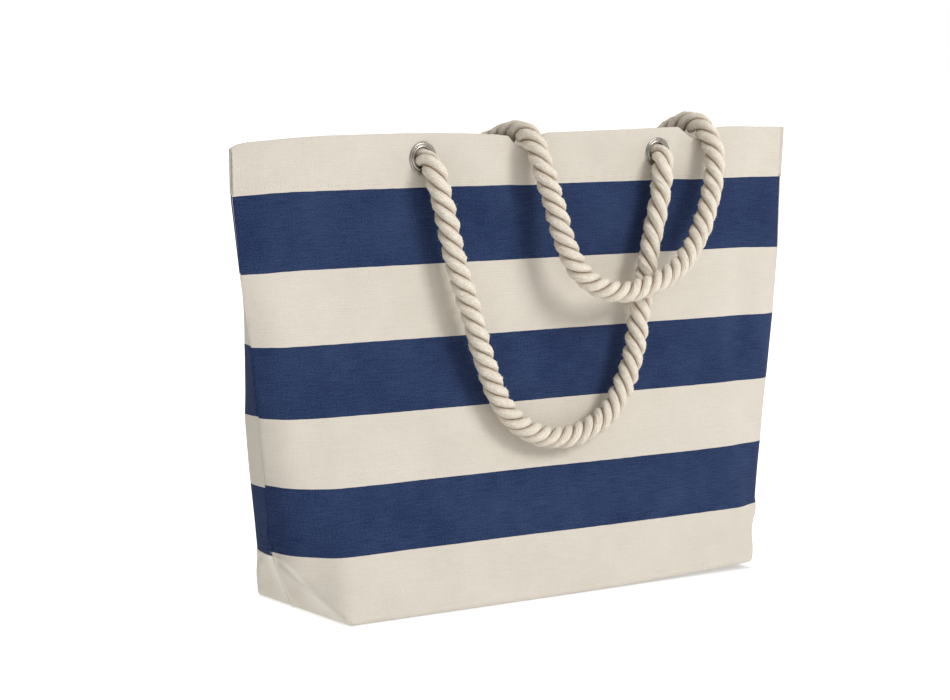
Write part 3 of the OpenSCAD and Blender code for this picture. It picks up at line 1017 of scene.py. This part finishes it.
# Radius and height above the cloth in millimetres, round the section of the flange, barrel and curl
eyelet_section = [
    (8.75, -4.4), (8.75, -1.0), (8.80, 0.7), (9.05, 1.30), (9.5, 1.68), (10.0, 1.80), (10.6, 1.66),
    (11.0, 1.30), (11.2, 1.02), (11.45, 1.02), (11.7, 1.30), (12.3, 1.42), (12.9, 1.25), (13.3, 0.86),
    (13.5, 0.42), (13.4, 0.06), (11.0, 0.05), (9.75, 0.05), (9.75, -3.6), (10.6, -3.75), (11.2, -4.05),
    (11.1, -4.5), (10.2, -4.75), (9.2, -4.7),
]
washer_section = [
    (9.9, -2.95), (10.1, -2.84), (11.5, -2.82), (13.1, -2.84), (13.45, -3.0), (13.5, -3.3), (13.4, -3.6),
    (13.0, -3.78), (11.5, -3.74), (10.2, -3.78), (9.9, -3.6),
]


def turned(name, section, x, side):
    """A ring turned about an eyelet's middle, with its section's heights pointing out of a face."""
    face = front_face_y if side < 0 else back_face_y
    section = np.array(section) * mm
    turn = np.linspace(0, 2 * math.pi, turned_steps + 1)
    across = section[None, :, 0]
    grid = np.stack([
        x + np.cos(turn)[:, None] * across,
        np.broadcast_to(face + side * section[None, :, 1], (len(turn), len(section))),
        eyelet_z + np.sin(turn)[:, None] * across,
    ], axis=2)
    grid = grid[:, ::-1] if side < 0 else grid
    uv = np.zeros((len(turn), len(section) + 1, 2))
    made = mesh_of(name, [(grid, uv, True, 0)], [nickel.material])
    merge_doubles(made)
    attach(made, "bag")
    return made


for place, x in (("left", left_eyelet_x), ("right", right_eyelet_x)):
    for face_name, side in (("front", -1), ("rear", 1)):
        ring = turned(f"{face_name}_{place}_nickel_eyelet", eyelet_section, x, side)
        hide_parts(f"{face_name}_{place}_eyelet")
        plate = turned(f"{face_name}_{place}_nickel_washer", washer_section, x, side)
        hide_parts(f"{face_name}_{place}_washer")

# ---------------- Knots
# Each rope's end is tied in a tight overhand knot inside the rim, which stops it pulling out. The short
# tail hangs from it, bound with waxed twine, and its cut end has opened into a tuft.
knot_rope_radius = 0.0067
knot_y = -0.006
knot_z = eyelet_z - 0.005
knot_aside = 0.024
tail_drop = 0.031
knot_wide = 0.0112
knot_deep = 0.0056
knot_grow = 1.5
knot_start = math.radians(18)
knot_stop = math.radians(336)
knot_step = 0.0014
knot_softness = 0.0022
# The cut end opens out over this length by this much, above a waist that the twine binds
tuft_length = 0.005
tuft_wide = 0.0022
waist_from_end = 0.010
waist_length = 0.004
waist_narrow = 0.0007
twine_radius = 0.0006
twine_turns = 6
twine_pitch = 0.00115
twine_from_end = 0.0065
twine_gap = 0.0003


def knot_line(x, side, aside):
    """From an eyelet's inner end through an overhand knot beside it and down to the tail's end."""
    face = front_face_y if side < 0 else back_face_y
    inner = face - side * inside_depth
    middle = np.array([x + aside * knot_aside, knot_y, knot_z])
    route = [(x, face - side * 0.006, eyelet_z), (x, inner, eyelet_z)]
    route.append(((x + middle[0]) / 2, (inner + knot_y) / 2, eyelet_z - 0.001))
    for turn in np.linspace(knot_start, knot_stop, 26):
        wide = knot_wide / 3 * (math.sin(turn) + 2 * math.sin(2 * turn)) * knot_grow
        high = knot_wide / 3 * (math.cos(turn) - 2 * math.cos(2 * turn)) * knot_grow
        deep = -side * knot_deep * math.sin(3 * turn)
        route.append(tuple(middle + (-aside * wide, deep, high)))
    tail_x = middle[0] + aside * 0.001
    for drop in (0.017, 0.023, tail_drop, tail_drop + 0.006):
        route.append((tail_x, knot_y, knot_z - drop))
    return smooth_route(route, knot_step, knot_softness)


def tube(name, line, radius, material, sides=8):
    """A plain round tube along a line, closed at both ends."""
    ahead, across, up = frames_along(line)
    ring = 2 * math.pi * np.arange(sides) / sides
    points = line[:, None] + radius * (
        np.cos(ring)[None, :, None] * across[:, None] + np.sin(ring)[None, :, None] * up[:, None]
    )
    low = np.repeat(line[:1, None], sides, 1)
    high = np.repeat(line[-1:, None], sides, 1)
    points = np.concatenate([low, points, high])
    uv = np.zeros((len(points), sides + 1, 2))
    made = mesh_of(name, [(points, uv, True, 0)], [material])
    merge_doubles(made)
    return made


twine = Finish("waxed twine", roughness=0.5, sheen=0.05)
twine_twist = twine.spots(0.0008, 2.0, source="Object")
twine_dark = (0.33, 0.22, 0.12, 1)
twine_light = (0.52, 0.38, 0.23, 1)
twine.colour(twine.mix(twine_twist, twine_dark, twine_light))
twine.relief(twine_twist, 0.0002)
knots, whippings = [], []
for place, x, asides in (("left", left_eyelet_x, (-1, 1)), ("right", right_eyelet_x, (1, -1))):
    for (face_name, side), aside in zip((("front", -1), ("rear", 1)), asides):
        line = knot_line(x, side, aside)
        radii = np.full(len(line), knot_rope_radius)
        from_end = (len(line) - 1 - np.arange(len(line))) * knot_step
        radii += np.clip(1 - from_end / tuft_length, 0, 1) ** 2 * tuft_wide
        radii -= np.exp(-(((from_end - waist_from_end) / waist_length) ** 2)) * waist_narrow
        knot = laid_rope(f"{face_name}_{place}_overhand_knot", line, radii, first_turn=0.7 * side)
        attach(knot, "bag")
        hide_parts(f"{face_name}_{place}_knot")
        knots.append(knot)
        tail = line[-1]
        turns = np.linspace(0, twine_turns * 2 * math.pi, 150)
        coil_radius = knot_rope_radius + twine_gap
        coil = np.column_stack([
            tail[0] + coil_radius * np.cos(turns),
            tail[1] + coil_radius * np.sin(turns),
            tail[2] + twine_from_end + turns / (2 * math.pi) * twine_pitch,
        ])
        whipping = tube(f"{face_name}_{place}_twine_whipping", coil, twine_radius, twine.material)
        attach(whipping, "bag")
        whippings.append(whipping)
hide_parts("rope_end_whippings")

# ---------------- Floor and light
# A plain white floor and soft light from all round, with a large lamp ahead and to the right.
floor_reach = 60
floor_z = -0.0004
floor_grey = (0.5, 0.5, 0.5, 1)
# The glow that lights the bag, the glow that the camera sees, and the painted contact shadow under the bag's
# edge
floor_glow = (0.66, 0.66, 0.66, 1)
floor_white = (1, 1, 1, 1)
painted_contact_shadow = (0.40, 0.40, 0.40, 1)
painted_shadow_inset = 0.006
painted_shadow_width = 0.014
floor_mesh = bpy.data.meshes.new("floor")
corners = [(x * floor_reach, y * floor_reach, floor_z) for x, y in ((-1, -1), (1, -1), (1, 1), (-1, 1))]
floor_mesh.from_pydata(corners, [], [(0, 1, 2, 3)])
floor = placed("floor", floor_mesh)
floor_finish = Finish("floor", roughness=1.0)
floor_finish.shader.inputs["Base Color"].default_value = floor_grey
floor_finish.shader.inputs["Specular IOR Level"].default_value = 0
floor_finish.shader.inputs["Emission Strength"].default_value = 1.0
# The floor glows like a lit table, except in the thin line where the bag meets it, which is painted dark as
# a contact shadow
floor_place = floor_finish.parts(floor_finish.out("ShaderNodeTexCoord", output="Object"))
beyond_x = floor_place[0].math("ABSOLUTE") - (base_half_width - painted_shadow_inset)
beyond_y = floor_place[1].math("ABSOLUTE") - (base_half_depth - painted_shadow_inset)
beyond = beyond_x.math("MAXIMUM", beyond_y)
glow = (beyond * (1 / painted_shadow_width)).math("MINIMUM", 1.0).math("MAXIMUM", 0.0)
seen_by_camera = floor_finish.out("ShaderNodeLightPath", output="Is Camera Ray")
glow_seen = floor_finish.mix(seen_by_camera, floor_glow, floor_white)
glow_colour = floor_finish.mix(glow, painted_contact_shadow, glow_seen)
floor_finish.node_tree.links.new(glow_colour.output, floor_finish.shader.inputs["Emission Color"])
floor_mesh.materials.append(floor_finish.material)

backdrop_strength = 1.0
sky_strength = 0.53
left_dimming = 0.46
right_dimming = 0.34
top_brightening = 0.32
world = bpy.data.worlds.new("studio")
bpy.context.scene.world = world
world.use_nodes = True
sky = Tree(world.node_tree)
seen_directly = sky.out("ShaderNodeLightPath")
sky_background = world.node_tree.nodes["Background"]
sky_background.inputs["Color"].default_value = (1, 1, 1, 1)
toward_right, _, toward_top = sky.parts(sky.out("ShaderNodeTexCoord"))
# The studio is darker on either side of the bag, most of all on its left
left_flag = toward_right.math("MINIMUM", 0.0)
right_flag = toward_right.math("MAXIMUM", 0.0)
sides = left_flag * left_dimming - right_flag * right_dimming
sky_glow = sides + toward_top * top_brightening + sky_strength
sky_light = seen_directly * (sky_glow * -1 + backdrop_strength) + sky_glow
world.node_tree.links.new(sky_light.output, sky_background.inputs["Strength"])


key_place = Vector((1.9, -4.6, 3.3))
key_aim = Vector((0, 0, 0.2))
key_size = 2.2
key_power = 190
lamp = placed("key lamp", bpy.data.lights.new("key lamp", "AREA"))
lamp.data.shape = "SQUARE"
lamp.data.size = key_size
lamp.data.energy = key_power
lamp.location = key_place
lamp.rotation_mode = "QUATERNION"
lamp.rotation_quaternion = (key_aim - key_place).to_track_quat("-Z", "Y")
bpy.context.scene.view_settings.view_transform = "Standard"

# ---------------- Rope lengths
# Each rope's length from the inside of one eyelet to the other, along the frame's own routes
front_rope_length = 0.636
rear_rope_length = 0.720
for rope, line, length, ends in (
    (front_rope, front_line, front_rope_length, (0, 2)),
    (rear_rope, rear_line, rear_rope_length, (1, 3)),
):
    [tuple(p) for p in line[::4]] + [tuple(line[-1])]
